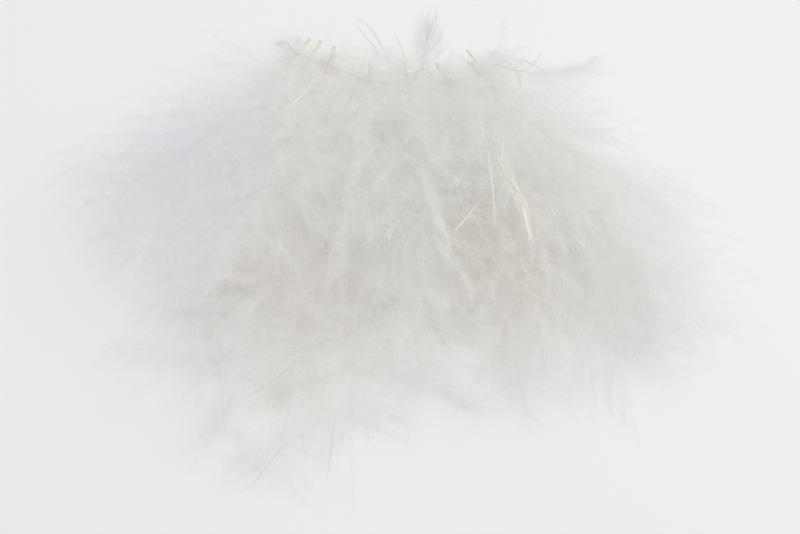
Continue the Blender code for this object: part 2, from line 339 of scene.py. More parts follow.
def walk(direction, length):
    """Points of the paths, from 0: the running sum of equal steps in the given directions."""
    steps = direction[:, :-1] * (length / (STEPS - 1))[:, None, None]
    return np.concatenate([np.zeros((len(steps), 1, 3)), np.cumsum(steps, axis=1)], axis=1)


def grow_barbs(barbs, shaft, plume, rng):
    """The direction at t is along cos(a) + out sin(a), where out is left cos(roll) + up sin(roll) and
    the angle a narrows towards the barb's end, plus a sag, two waves and a curl."""
    t = np.linspace(0, 1, STEPS)
    chance, count = barbs.chance, barbs.count
    along, left, up = shaft.axes(barbs.share)
    side = np.where(barbs.after, 1, barbs.side)
    out = left * (side * np.cos(barbs.roll))[:, None] + up * np.sin(barbs.roll)[:, None]
    angle = barbs.opening[:, None] * (1 - (1.25 if barbs.tuft else 0.3) * t)
    direction = along[:, None] * np.cos(angle)[..., None] + out[:, None] * np.sin(angle)[..., None]
    direction[..., 2] += (0.5 * plume.flare * barbs.near_root)[:, None] * (1 - t) - SAG * t
    wave = np.sin(t * 6.0 + rng.uniform(0, 6.3, (count, 1)))[..., None] * rng.normal(0, 0.14, (count, 1, 3))
    lock_wave = np.sin(t * 3.6 + chance[:, 3:4])[..., None] * chance[:, None, 3:6] * 0.15
    limp = np.where(barbs.whisker, 0.14, 0.24)[:, None, None]
    curl = chance[:, None, 4:7] * 0.26 + rng.normal(0, 1, (count, 1, 3)) * limp + (*plume.comb, 0.0)
    direction = unit(direction + wave + lock_wave + curl * t[None, :, None] ** 1.3)
    barbs.path = shaft.point(barbs.share)[:, None] + walk(direction, barbs.length)


grow_barbs(sample, Shaft(sample_plume), sample_plume, sample_rng)
print("sample plume, points:", sample.path.shape)

# %% [markdown]
# ## Locks cling and the heap settles
#
# Two things are still missing. The barbs of a lock come together towards their ends. And the bunch
# settles: hair that stands high is pressed down softly, and none goes into the table. A cut-off at one
# height would show as a flat top, so the press is a curve that comes ever closer to its limit.

# %% Cling and settle
SETTLED_HEIGHT = 40 * MM
LOFT = 18 * MM
FLOOR_GAP = 0.25 * MM


def cling(barbs):
    """Each barb is pulled to the middle one of its lock, by a share that grows as t^1.6 along it. The
    barbs of the after-plume each have a lock of their own."""
    t = np.linspace(0, 1, STEPS)
    alone = barbs.lock.max() + 1 + np.arange(barbs.count)
    lock = np.unique(np.where(barbs.after, alone, barbs.lock), return_inverse=True)[1]
    members = [np.flatnonzero(lock == k) for k in range(lock.max() + 1)]
    middle = np.array([found[len(found) // 2] for found in members])[lock]
    pull = np.clip(0.55 + 0.2 * barbs.chance[:, 6], 0.2, 0.9)
    barbs.path += (barbs.path[middle] - barbs.path) * (pull[:, None] * t**1.6)[..., None]


def settle(barbs, rng):
    """A height h over the settled height H becomes H + loft (1 - exp(-(h - H) / loft))."""
    above = np.maximum(barbs.path[..., 2] - SETTLED_HEIGHT, 0)
    barbs.path[..., 2] += LOFT * (1 - np.exp(-above / LOFT)) - above
    table = FLOOR_GAP + 0.5 * MM * rng.random((barbs.count, 1))
    barbs.path[..., 2] = np.maximum(barbs.path[..., 2], table)


def plume_barbs(shaft, plume, count, rng):
    """All the steps from the starts to the settled paths."""
    barbs = start_barbs(shaft, plume, count, rng)
    turn_barbs(barbs, shaft, plume, rng)
    cover_shaft(barbs, plume, rng)
    add_after_plume(barbs, shaft, rng)
    measure_barbs(barbs, plume, rng)
    grow_barbs(barbs, shaft, plume, rng)
    cling(barbs)
    settle(barbs, rng)
    return barbs


sample = plume_barbs(Shaft(sample_plume), sample_plume, 190, sample_rng)
print("sample plume, highest point in mm:", (sample.path[..., 2].max() / MM).round(1))

# %% [markdown]
# ## Barbs and barbules as triangles
#
# A barb is about a tenth of a millimetre wide, so a flat ribbon is enough for it. It carries barbules
# on both of its sides, a few in every millimetre. They are up to three millimetres long and thinner
# than a pixel. Round tubes would cost a hundred times the faces and look the same, so each barbule is
# one thin triangle. Most have the base on the barb and the point in the air. Towards the barb's root
# more of them are the other way round, which makes the fluff denser there.

# %% Ribbons and barbules
BARB_WIDTH = 0.10 * MM
WHISKER_WIDTH = 2.0
BARBULE_WIDTH = 0.08 * MM
BARBULE_LENGTH = 3.0 * MM
FULL_FLUFF_FROM = 18 * MM
TABLE_GAP = 0.1 * MM


def barb_ribbons(barbs):
    """A flat ribbon along each path, (count, STEPS, 2, 3): width falls in a straight line to a third."""
    across = unit(np.cross(unit(np.gradient(barbs.path, axis=1)), UP))
    width = BARB_WIDTH * np.linspace(1.0, 0.3, STEPS) * np.where(barbs.whisker, WHISKER_WIDTH, 1.0)[:, None]
    half = across * (width / 2)[..., None]
    return np.stack([barbs.path - half, barbs.path + half], axis=2)


def barbule_starts(barbs, per_mm, rng):
    """The barb that each barbule grows on, its place t on it, and the point and direction there."""
    counts = np.round(barbs.length / MM * per_mm).astype(int)
    barb = np.repeat(np.arange(len(barbs.path)), counts)
    t = rng.uniform(0.01, 1.0, len(barb)) ** 0.8
    t = np.where(barbs.whisker[barb], t * 0.66, t)
    step = np.minimum((t * (STEPS - 1)).astype(int), STEPS - 2)
    part = (t * (STEPS - 1) - step)[:, None]
    start, end = barbs.path[barb, step], barbs.path[barb, step + 1]
    return barb, t, start + (end - start) * part, unit(end - start)


def barbule_triangles(barbs, per_mm, rng):
    """Triangles (n, 3, 3), their barb and their t. The point stands off the barb at the angle b, tangent
    cos(b) + outwards sin(b), and barbules are shorter towards the barb's end."""
    barb, t, base, tangent = barbule_starts(barbs, per_mm, rng)
    across = unit(np.cross(tangent, UP))
    above = np.cross(across, tangent)
    turn = np.where(rng.random(len(barb)) < 0.5, 0.0, math.pi) + rng.normal(0, np.radians(40), len(barb))
    out = across * np.cos(turn)[:, None] + above * np.sin(turn)[:, None]
    lean = np.radians(62 - 34 * t**2) + rng.normal(0, np.radians(12), len(barb))
    direction = tangent * np.cos(lean)[:, None] + out * np.sin(lean)[:, None]
    size = BARBULE_LENGTH * rng.uniform(0.5, 1.15, len(barb)) * (1 - 0.74 * ramp(t, 0.3, 1.0))
    size = size * np.clip(barbs.length[barb] / FULL_FLUFF_FROM, 0.3, 1.0)
    tip = base + direction * size[:, None]
    tip[:, 2] = np.maximum(tip[:, 2], TABLE_GAP)
    half = tangent * BARBULE_WIDTH / 2
    turned_round = (rng.random(len(barb)) < 0.6 * (1 - t))[:, None]
    wide, point = np.where(turned_round, tip, base), np.where(turned_round, base, tip)
    return np.stack([wide - half, wide + half, point], axis=1), barb, t


print("sample plume, barbules:", len(barbule_triangles(sample, 6, sample_rng)[0]))

# %% [markdown]
# ## From arrays to meshes
#
# Ribbons and triangles go into one mesh per plume. An object for every hair would choke Blender, and
# arrays go into a mesh in one call. The map, which the material reads, holds the place of every hair on
# its plume: up the map runs the barb, and across it runs the shaft, from root to tip, once in the left
# half for the barbules and once in the right half for the barbs.

# %% Build a mesh from triangles
def mesh_from_triangles(name, corners, faces, face_uv):
    """A mesh object with flat triangles: corners (n, 3), faces (m, 3) and the map's (m, 3, 2)."""
    mesh = bpy.data.meshes.new(name)
    mesh.vertices.add(len(corners))
    mesh.vertices.foreach_set("co", corners.astype(np.float32).ravel())
    mesh.loops.add(faces.size)
    mesh.loops.foreach_set("vertex_index", faces.astype(np.int32).ravel())
    mesh.polygons.add(len(faces))
    mesh.polygons.foreach_set("loop_start", np.arange(0, faces.size, 3, dtype=np.int32))
    layer = mesh.uv_layers.new(name="OFBake")
    layer.uv.foreach_set("vector", face_uv.astype(np.float32).ravel())
    mesh.update(calc_edges=True)
    mesh.validate()
    piece = bpy.data.objects.new(name, mesh)
    bpy.context.scene.collection.objects.link(piece)
    return piece


def place(piece, node):
    """The piece moves with the bunch and stands for a solid, which it hides."""
    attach(piece, "root")
    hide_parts(node)


# %% Build a mesh of down
HAIR_ON_MAP = 0.004


def ribbon_faces_and_map(ribbons, share):
    """Two triangles for each piece of a ribbon, and their map, in its right half."""
    index = np.arange(ribbons.shape[0] * STEPS * 2).reshape(-1, STEPS, 2)
    a, b, c, d = index[:, :-1, 0], index[:, :-1, 1], index[:, 1:, 1], index[:, 1:, 0]
    faces = np.stack([np.stack([a, b, c], -1), np.stack([a, c, d], -1)], 2).reshape(-1, 3)
    v = np.broadcast_to(np.linspace(0, 1, STEPS)[None, :, None], ribbons.shape[:3]) * 0.96 + 0.02
    u = np.broadcast_to(share[:, None, None] / 2 + 0.5, ribbons.shape[:3]) + np.array((0.0, HAIR_ON_MAP))
    return faces, np.stack([u, v], -1).reshape(-1, 2)[faces]


def down_mesh(name, barbs, per_mm, rng):
    """The ribbons and barbules of the given barbs in one mesh."""
    ribbons = barb_ribbons(barbs)
    hairs, barb, t = barbule_triangles(barbs, per_mm, rng)
    ribbon_faces, ribbon_uv = ribbon_faces_and_map(ribbons, barbs.share)
    hair_faces = np.arange(hairs.shape[0] * 3).reshape(-1, 3) + ribbons.size // 3
    cell = np.array(((0.0, 0.0), (HAIR_ON_MAP, 0.0), (0.0, HAIR_ON_MAP)))
    hair_uv = np.stack([barbs.share[barb] / 2, t * 0.95 + 0.02], -1)[:, None] + cell
    corners = np.concatenate([ribbons.reshape(-1, 3), hairs.reshape(-1, 3)])
    faces = np.concatenate([ribbon_faces, hair_faces])
    return mesh_from_triangles(name, corners, faces, np.concatenate([ribbon_uv, hair_uv]))


sample_faces, sample_map = ribbon_faces_and_map(barb_ribbons(sample), sample.share)
print("sample plume, triangles of its barbs:", len(sample_faces))

# %% [markdown]
# ## Finishes
#
# Each finish below is a small net of shader nodes on Blender's standard surface. Painted images could
# do it too, but a net has detail at any distance and needs no file. The nets are wired by the short
# calls of one class, so that each finish reads like a recipe.

# %% Short calls for shader nets
class Finish:
    """A new material with its surface node, and calls that add nodes to it."""

    def __init__(self, name):
        self.material = bpy.data.materials.new(name)
        self.material.use_nodes = True
        self.tree = self.material.node_tree
        self.surface = self.tree.nodes["Principled BSDF"]

    def feed(self, node, inputs):
        """Each input is linked to another node's output, or set to a value."""
        for socket, value in inputs.items():
            if isinstance(value, bpy.types.NodeSocket):
                self.tree.links.new(value, node.inputs[socket])
            else:
                node.inputs[socket].default_value = value

    def add(self, kind, inputs, **settings):
        node = self.tree.nodes.new(kind)
        for setting, value in settings.items():
            setattr(node, setting, value)
        self.feed(node, inputs)
        return node

    def in_space(self):
        return self.add("ShaderNodeTexCoord", {}).outputs["Object"]

    def on_map(self):
        return self.add("ShaderNodeUVMap", {}, uv_map="OFBake").outputs["UV"]

    def split(self, vector):
        return self.add("ShaderNodeSeparateXYZ", {"Vector": vector}).outputs

    def noise(self, vector, scale, detail):
        inputs = {"Vector": vector, "Scale": scale, "Detail": detail}
        return self.add("ShaderNodeTexNoise", inputs).outputs["Fac"]

    def between(self, value, start, end, smooth=True):
        """0 up to start, 1 from end on, with an S or a straight line between; end may be under start."""
        inputs = {"Value": value, "From Min": start, "From Max": end}
        line = "SMOOTHSTEP" if smooth else "LINEAR"
        return self.add("ShaderNodeMapRange", inputs, interpolation_type=line).outputs["Result"]

    def math(self, operation, a, b):
        return self.add("ShaderNodeMath", {0: a, 1: b}, operation=operation).outputs["Value"]

    def mix(self, a, b, factor, blend="MIX"):
        inputs = {"A": a, "B": b, "Factor": factor}
        return self.add("ShaderNodeMix", inputs, data_type="RGBA", blend_type=blend).outputs["Result"]

    def colours(self, value, *stops):
        """A run of colour between two stops, each a place and a colour."""
        node = self.add("ShaderNodeValToRGB", {"Fac": value})
        for element, (position, colour) in zip(node.color_ramp.elements, stops):
            element.position = position
            element.color = colour
        return node.outputs["Color"]

    def bumps(self, height, strength, distance):
        inputs = {"Height": height, "Strength": strength, "Distance": distance}
        self.feed(self.surface, {"Normal": self.add("ShaderNodeBump", inputs).outputs["Normal"]})


# %% [markdown]
# ## White down
#
# White down is never one white. Light that goes in between the layers comes back warm and dim, and the
# thin left side takes a trace of violet from the room. Both could be left to the light alone, but a
# renderer's white hairs are too clean for that, so both are painted into the colour. The deep places
# get a painted warm shade, a darker and warmer white: they are low, near one of three places in the
# bunch, patchy, and on the inner half of the barbs. The raised left side gets a painted violet light.
# Down also lets light through, so half of it is scattered on the far side of each hair.

# %% Colours of the down
NEUTRAL_WHITE = (0.973, 0.976, 0.967, 1)
# painted shade: a darker, warmer white for the deep places of the heap, where little light gets in
WARM_PAINTED_SHADE = (0.953, 0.935, 0.910, 1)
# painted light: a trace of violet room light for the raised left side
VIOLET_PAINTED_LIGHT = (0.949, 0.944, 0.969, 1)
WISP_SHADE = (0.975, 0.975, 0.97, 1)
BARB_SHADE = (0.93, 0.928, 0.91, 1)
# centres and reach of the places that get the painted warm shade
SHADED_DEEP_PLACES = (
    ((-0.034, -0.010, 0.015), 43 * MM),
    ((0.034, 0.005, 0.015), 38 * MM),
    ((-0.020, 0.063, 0.033), 13 * MM),
)


def painted_warm_shade(finish, space, along_barb):
    """Mask of the painted warm shade, a product of four: under 44 to 30 mm of height, within reach of
    a deep place, patches, inwards.
    """
    near = []
    for centre, reach in SHADED_DEEP_PLACES:
        away = finish.add("ShaderNodeVectorMath", {0: space, 1: centre}, operation="DISTANCE")
        near.append(finish.between(away.outputs["Value"], reach, reach / 2))
    nearest = finish.math("MAXIMUM", finish.math("MAXIMUM", near[0], near[1]), near[2])
    warm = finish.between(finish.split(space)["Z"], 44 * MM, 30 * MM)
    patches = finish.between(finish.noise(space, 34, 2), 0.22, 0.46)
    inwards = finish.between(along_barb, 1.0, 0.5)
    for factor in (nearest, patches, inwards):
        warm = finish.math("MULTIPLY", warm, factor)
    return warm


# %% Down finish
def down_finish():
    finish = Finish("white marabou down")
    space = finish.in_space()
    place_on_map = finish.split(finish.on_map())
    # painted shade: the deep places are mixed towards the darker, warmer white
    colour = finish.mix(NEUTRAL_WHITE, WARM_PAINTED_SHADE, painted_warm_shade(finish, space, place_on_map["Y"]))
    colour = finish.mix(colour, WISP_SHADE, finish.noise(space, 210, 4), "MULTIPLY")
    sides = finish.split(space)
    # painted light: the raised left side is mixed towards violet, as if lit by violet room light
    leftwards = finish.between(sides["X"], -30 * MM, -75 * MM)
    raised = finish.between(sides["Z"], 4 * MM, 14 * MM)
    colour = finish.mix(colour, VIOLET_PAINTED_LIGHT, finish.math("MULTIPLY", leftwards, raised))
    is_barb = finish.between(place_on_map["X"], 0.499, 0.5, smooth=False)
    colour = finish.mix(colour, BARB_SHADE, is_barb, "MULTIPLY")

    finish.feed(finish.surface, {"Base Color": colour, "Roughness": 0.7})
    through = finish.add("ShaderNodeBsdfTranslucent", {"Color": colour})
    halves = {0: 0.5, 1: finish.surface.outputs["BSDF"], 2: through.outputs["BSDF"]}
    both = finish.add("ShaderNodeMixShader", halves)
    finish.feed(finish.tree.nodes["Material Output"], {"Surface": both.outputs["Shader"]})
    return finish.material


DOWN = down_finish()
print("nodes in the down finish:", len(DOWN.node_tree.nodes))

# %% [markdown]
# ## Grow the plumes
#
# Copies of one plume would be light, but the eye finds them at once, so each is grown for itself. A
# longer plume has more barbs. Every plume has its own random numbers, seeded by its row and number, so
# that a change to one leaves the others as they are.

# %% Down of every plume
BARBULES_PER_MM = 6.3
FEWEST_BARBS = 115
BARBS_AT_FULL_SIZE = 190
FULL_SIZE = 120 * MM
LARGEST = 1.1

down_pieces = []
for row_number, number, node, plume in all_plumes():
    shaft = Shaft(plume)
    size = min(shaft.flat_length / FULL_SIZE, LARGEST)
    count = int(plume.fill * max(FEWEST_BARBS, BARBS_AT_FULL_SIZE * size**0.8))
    rng = np.random.default_rng([row_number, number])
    piece = down_mesh(f"{node}_down", plume_barbs(shaft, plume, count, rng), BARBULES_PER_MM, rng)
    piece.data.materials.append(DOWN)
    place(piece, node)
    down_pieces.append(piece)
print("triangles of down:", sum(len(piece.data.polygons) for piece in down_pieces))

# %% [markdown]
# ## Quills and shafts
#
# The shaft is a thin horny tube, open at the cut quill and whip-thin towards the tip. A cylinder that
# is bent by a modifier could stand for it, but its thickness changes all the way, so a circle is
# carried along the curve and its radius follows a formula. Where the quill was cut there is a small
# cup: the run of rings starts at its bottom, comes out over the rim and goes on down the outside.

# %% Tubes along paths
def square_to(centres):
    """Two unit vectors for each point of a path: level to its right, and up from it."""
    along = unit(np.gradient(centres, axis=0))
    right = unit(np.cross(along, UP))
    return right, np.cross(right, along)


def tube_net(centres, radii, right, over, sides):
    """Rings of points, centre + radius (right cos a + over sin a), with the angle a turning so that the
    faces between two rings point outwards, and a point in the middle of both ends that closes them."""
    angle = -np.linspace(0, 2 * math.pi, sides, endpoint=False)
    circle = right[:, None] * np.cos(angle)[:, None] + over[:, None] * np.sin(angle)[:, None]
    rings = centres[:, None] + circle * np.asarray(radii)[:, None, None]
    corners = np.concatenate([rings.reshape(-1, 3), centres[:1], centres[-1:]])

    count = len(centres)
    index = np.arange(count * sides).reshape(count, sides)
    a, d = index[:-1], index[1:]
    b, c = np.roll(a, -1, 1), np.roll(d, -1, 1)
    walls = np.stack([np.stack([a, b, c], -1), np.stack([a, c, d], -1)], 2).reshape(-1, 3)
    first, last = index[0], index[-1]
    start = np.stack([np.roll(first, -1), first, np.full(sides, count * sides)], -1)
    end = np.stack([last, np.roll(last, -1), np.full(sides, count * sides + 1)], -1)
    faces = np.concatenate([walls, start, end])

    v = np.concatenate([np.repeat(np.linspace(0, 1, count), sides), (0.0, 1.0)])
    u = np.concatenate([np.tile(np.arange(sides) / sides, count), (0.5, 0.5)])
    return corners, faces, np.stack([u, v], -1)[faces]


def closed_tubes(name, tubes, sides, material):
    """One smooth mesh of closed tubes, each given by its centres, radii and the two directions."""
    nets = [tube_net(*tube, sides) for tube in tubes]
    firsts = np.cumsum([0] + [len(corners) for corners, faces, uv in nets])
    corners = np.concatenate([net[0] for net in nets])
    faces = np.concatenate([net[1] + first for net, first in zip(nets, firsts)])
    piece = mesh_from_triangles(name, corners, faces, np.concatenate([net[2] for net in nets]))
    piece.data.polygons.foreach_set("use_smooth", np.ones(len(faces), bool))
    piece.data.materials.append(material)
    a, b, c = corners[faces].transpose(1, 0, 2)
    assert np.einsum("ij,ij->", a, np.cross(b, c)) > 0, "faces point inwards"
    return piece


# %% Horn finish
QUILL_YELLOW = (0.80, 0.80, 0.58, 1)
SHAFT_IVORY = (0.90, 0.89, 0.85, 1)
HORN_BLOTCH = (0.86, 0.84, 0.76, 1)


def horn_finish():
    """Yellowish at the quill and ivory further on, with blotches and ridges that run lengthwise."""
    finish = Finish("ivory quill")
    map_place = finish.on_map()
    stretched = finish.add("ShaderNodeMapping", {"Vector": map_place, "Scale": (9, 30, 1)})
    grain = finish.noise(stretched.outputs["Vector"], 1, 5)
    colour = finish.colours(finish.split(map_place)["Y"], (0.02, QUILL_YELLOW), (0.22, SHAFT_IVORY))
    blotches = finish.between(grain, 0.45, 0.75, smooth=False)
    colour = finish.mix(colour, HORN_BLOTCH, blotches, "MULTIPLY")
    finish.feed(finish.surface, {"Base Color": colour, "Roughness": 0.4})
    finish.bumps(grain, 0.35, 0.05 * MM)
    return finish.material


HORN = horn_finish()
print("nodes in the horn finish:", len(HORN.node_tree.nodes))

# %% Shafts of every plume
QUILL_RADIUS = 0.62 * MM
THINNEST_PLUME = 60
SHAFT_SIDES = 10
SHAFT_RINGS = 44
BARE_TIP = 0.04
CUP_DEPTH = 3.5 * MM


def shaft_tube(shaft):
    """The two rings of the cup, then the outside. Its radius is the quill's x (0.08 + 0.27 (1 - s) +
    0.65 (1 - s)^8), with s from 0 at the cut end to 1 at the tip."""
    share = np.linspace(0, BARBS_END + BARE_TIP, SHAFT_RINGS)
    thin = 1 - share / share[-1]
    outside_radii = 0.08 + 0.27 * thin + 0.65 * thin**8
    cup_radii = (0.5, 0.62)
    cup_bottom = min(CUP_DEPTH / shaft.flat_length, MOST_BARE_SHARE)
    share = np.concatenate([(cup_bottom, 0.0), share])
    quill_radius = min(QUILL_RADIUS, shaft.flat_length / THINNEST_PLUME)
    radii = np.concatenate([cup_radii, outside_radii]) * quill_radius
    along, left, up = shaft.axes(share)
    return shaft.point(share), radii, -left, up


for row_number, number, node, plume in all_plumes():
    piece = closed_tubes(f"{node}_shaft", [shaft_tube(Shaft(plume))], SHAFT_SIDES, HORN)
    place(piece, node)
print("triangles of one shaft:", len(piece.data.polygons))

# %% [markdown]
# ## The route of the thread
#
# The thread passes over one quill and under the next, a few millimetres from their cut ends, folds back
# beside the row and goes on through the next one. Blender's curve objects could carry it, but three
# plies have to be twisted around its middle line, so the line is a list of points here. It goes through
# the same stitches as the solid's does.

# %% Stitches and folds
THREAD_RADIUS = 0.45 * MM
OFF_QUILL = 0.8 * MM + THREAD_RADIUS + 0.35 * MM
STITCH_FROM_END = 6.5 * MM
MOST_STITCH_SHARE = 0.2


def stitches(row):
    """One point over the first quill, the next under its neighbour, and so on."""
    found = []
    for number, plume in enumerate(row):
        shaft = Shaft(plume)
        from_end = STITCH_FROM_END / np.linalg.norm(shaft.tip - shaft.root)
        share = np.array((min(from_end, MOST_STITCH_SHARE),))
        side = 1 if number % 2 == 0 else -1
        found.append(shaft.point(share)[0] + shaft.axes(share)[2][0] * side * OFF_QUILL)
    return found


def laid(*points):
    """Points given in millimetres where the bunch was laid out, in metres from the base's middle."""
    return [(np.array(point) - BASE_CENTRE) * MM for point in points]


bottom, middle, top = (stitches(ROWS[name]) for name in ("bottom", "middle", "top"))
right_fold = laid((38.0, 54.5, 5.5), (42.0, 59.5, 10.5), (38.5, 65.0, 16.5))
left_fold = laid((-33.0, 73.0, 18.5), (-34.5, 71.0, 24.5), (-31.0, 68.0, 30.0))
before_last_stitch = laid((36.5, 64.5, 30.5))
first_end = bottom[0] + np.array((-7.0, 1.0, 0.0)) * MM
last_end = top[-1] + np.array((1.5, -5.5, 0.5)) * MM
print("stitches:", len(bottom), len(middle), len(top))

# %% Smooth route
ROUTE_STEP = 0.4 * MM


def smooth_path(points, step):
    """A curve through all the points. Between b and c it is b + (p t + q t^2 + r t^3) / 2, where a is
    the point before them, d the one after, p = c - a, q = 2a - 5b + 4c - d and r = 3b - a - 3c + d."""
    points = np.array(points)
    ends = np.concatenate([[points[0] * 2 - points[1]], points, [points[-1] * 2 - points[-2]]])
    read = []
    for a, b, c, d in zip(ends, ends[1:], ends[2:], ends[3:]):
        count = max(2, round(np.linalg.norm(c - b) / step))
        t = (np.arange(count) / count)[:, None]
        p, q, r = c - a, 2 * a - 5 * b + 4 * c - d, 3 * b - a - 3 * c + d
        read.append(b + (p * t + q * t**2 + r * t**3) / 2)
    return np.concatenate([*read, points[-1:]])


upper_rows = [*middle[::-1], *left_fold, *top[:-1], *before_last_stitch, top[-1]]
route = smooth_path([first_end, *bottom, *right_fold, *upper_rows, last_end], ROUTE_STEP)
pieces_of_route = np.linalg.norm(np.diff(route, axis=0), axis=1)
travelled = np.concatenate([[0.0], np.cumsum(pieces_of_route)])
print("thread, mm:", round(travelled[-1] / MM))

# %% [markdown]
# ## Cotton thread
#
# Sewing thread is spun from three plies, which are wound around each other like a rope, and short
# fibres stand off it. A bump pattern could fake the twist, but close by its outline would be straight.
# So each ply is a tube whose middle line is a helix around the route.

# %% Cotton finish
COTTON_SHADE = (0.84, 0.83, 0.78, 1)
COTTON_LIGHT = (0.93, 0.925, 0.89, 1)


def cotton_finish():
    """Fibres that run along the ply with a slight slant, as colour and as bumps."""
    finish = Finish("off-white cotton")
    slant = {"Vector": finish.on_map(), "Scale": (14, 160, 1), "Rotation": (0, 0, 0.02)}
    stretched = finish.add("ShaderNodeMapping", slant)
    fibres = finish.noise(stretched.outputs["Vector"], 1, 6)
    colour = finish.colours(fibres, (0.3, COTTON_SHADE), (0.7, COTTON_LIGHT))
    finish.feed(finish.surface, {"Base Color": colour, "Roughness": 0.85})
    finish.bumps(fibres, 0.5, 0.06 * MM)
    return finish.material


COTTON = cotton_finish()
print("nodes in the cotton finish:", len(COTTON.node_tree.nodes))

# %% Three plies, twisted
PLIES = 3
PLY_SIDES = 6
TWIST = 2.2 * MM
PLY_OFF_CENTRE = 0.21 * MM
PLY_RADIUS = 0.23 * MM
TAPER = 0.8 * MM

right, over = square_to(route)
from_end = np.minimum(travelled, travelled[-1] - travelled)
ply_radii = PLY_RADIUS * np.minimum(1.0, 0.35 + from_end / TAPER)
for ply in range(PLIES):
    turn = travelled / TWIST * 2 * math.pi + ply * 2 * math.pi / PLIES
    helix = route + (right * np.cos(turn)[:, None] + over * np.sin(turn)[:, None]) * PLY_OFF_CENTRE
    tube = (helix, ply_radii, *square_to(helix))
    piece = closed_tubes(f"thread_ply_{ply + 1}", [tube], PLY_SIDES, COTTON)
    place(piece, "thread")
print("turns of the twist:", round(travelled[-1] / TWIST))

# %% Loose fibres of the thread
LOOSE_FIBRES = 1500
FIBRE_WIDTH = 0.04 * MM

rng = np.random.default_rng(7)
pick = rng.integers(0, len(route) - 1, LOOSE_FIBRES)
turn = rng.uniform(0, 2 * math.pi, LOOSE_FIBRES)
out = right[pick] * np.cos(turn)[:, None] + over[pick] * np.sin(turn)[:, None]
base = route[pick] + out * THREAD_RADIUS * 0.8
along = unit(np.gradient(route, axis=0))[pick]
heading = unit(out + along * rng.normal(0, 1.2, (LOOSE_FIBRES, 1)))
point = base + heading * rng.uniform(0.3, 1.1, (LOOSE_FIBRES, 1)) * MM
half = along * FIBRE_WIDTH / 2
corners = np.stack([base - half, base + half, point], axis=1).reshape(-1, 3)
faces = np.arange(LOOSE_FIBRES * 3).reshape(-1, 3)
fibre_uv = np.tile(np.array(((0.0, 0.0), (0.01, 0.0), (0.0, 0.01))), (LOOSE_FIBRES, 1, 1))
piece = mesh_from_triangles("thread_fuzz", corners, faces, fibre_uv)
piece.data.materials.append(COTTON)
place(piece, "thread")
print("loose fibres:", len(piece.data.polygons))

# %% [markdown]
# ## Down caught in the thread
#
# When the plumes are sewn, loose down is caught in every stitch, so hardly anything of the thread
# shows. It could be glued on as a patch, but it grows best as the plumes do: barbs that start from
# chance points along the thread, rise a little and hang over towards the plumes.

# %% Grow the caught down
CAUGHT = 420
CAUGHT_PER_MM = 7.0

rng = np.random.default_rng(41)
pick = rng.integers(0, len(route), CAUGHT)
caught_length = rng.uniform(6, 11, CAUGHT) * MM
heading = unit(rng.normal(0, 0.6, (CAUGHT, 3)) + (0.0, -0.45, 0.75))
bend = rng.normal(0, 0.5, (CAUGHT, 3)) + (0.0, -0.3, -0.9)
direction = unit(heading[:, None] + bend[:, None] * np.linspace(0, 1, STEPS)[None, :, None])
path = route[pick][:, None] + walk(direction, caught_length)
path[..., 2] = np.maximum(path[..., 2], FLOOR_GAP)
no_whiskers = np.zeros(CAUGHT, bool)
caught = SimpleNamespace(path=path, share=pick / len(route), length=caught_length, whisker=no_whiskers)
piece = down_mesh("caught_down", caught, CAUGHT_PER_MM, rng)
piece.data.materials.append(DOWN)
place(piece, "thread")
down_pieces.append(piece)
print("triangles of caught down:", len(piece.data.polygons))

# %% [markdown]
# ## Bare strands
#
# No bunch is perfect. A few barbs have lost their barbules and stand out as thin dark hairs, some lie
# bare on the low plumes, a bare piece of shaft lies on the left, and on the right a few barbs are stuck
# together in a cream-coloured string. Their places were chosen one by one. A dropped strand could be
# simulated, but it is simpler to read off how high the down stands under it.

# %% Height of the down at a place
EVERY = 5
READ_WITHIN = 5 * MM
LEAST_HEIGHT = 1.5 * MM

corners = []
for piece in down_pieces:
    flat = np.empty(len(piece.data.vertices) * 3, np.float32)
    piece.data.vertices.foreach_get("co", flat)
    corners.append(flat.reshape(-1, 3)[::EVERY])
heap = np.concatenate(corners)


def on_down(*places, over=97):
    """Points above the given x and y, as high as over in 100 hairs within 5 mm of them; then each height
    is a quarter of both neighbours' and half its own, so that what lies there spans the hollows."""
    points = np.array([((x, y, 0.0) - BASE_CENTRE) * MM for x, y in places])
    for point in points:
        near = np.hypot(heap[:, 0] - point[0], heap[:, 1] - point[1]) < READ_WITHIN
        point[2] = np.percentile(np.append(heap[near, 2], LEAST_HEIGHT), over)
    height = np.pad(points[:, 2], 1, mode="edge")
    points[:, 2] = height[:-2] / 4 + height[1:-1] / 2 + height[2:] / 4
    return points


print("height of the down in the middle, mm:", (on_down((0, 20), (40, 10), (-40, 20))[:, 2] / MM).round(1))

# %% Finishes of the strands
def strand_finish(name, dark, pale):
    """Blotches of two shades."""
    finish = Finish(name)
    blotches = finish.noise(finish.in_space(), 400, 3)
    colour = finish.colours(blotches, (0.35, dark), (0.65, pale))
    finish.feed(finish.surface, {"Base Color": colour, "Roughness": 0.5})
    return finish.material


GREY = strand_finish("bare barb", (0.55, 0.53, 0.46, 1), (0.70, 0.68, 0.62, 1))
CREAM = strand_finish("stuck barbs", (0.93, 0.90, 0.82, 1), (0.95, 0.94, 0.89, 1))

# %% Bare barbs and the bare shaft
STRAND_SIDES = 6
STRAND_STEP = 1.2 * MM


def strand(points, thick):
    """A tube on the smooth curve through the points; its radius falls to a third at both ends."""
    centres = smooth_path(points, STRAND_STEP)
    t = np.linspace(-1, 1, len(centres))
    return centres, thick / 2 * (1 - 0.67 * np.abs(t) ** 3), *square_to(centres)


def add_strands(name, tubes, material, node):
    piece = closed_tubes(name, tubes, STRAND_SIDES, material)
    place(piece, node)
    print(name, "strands:", len(tubes))


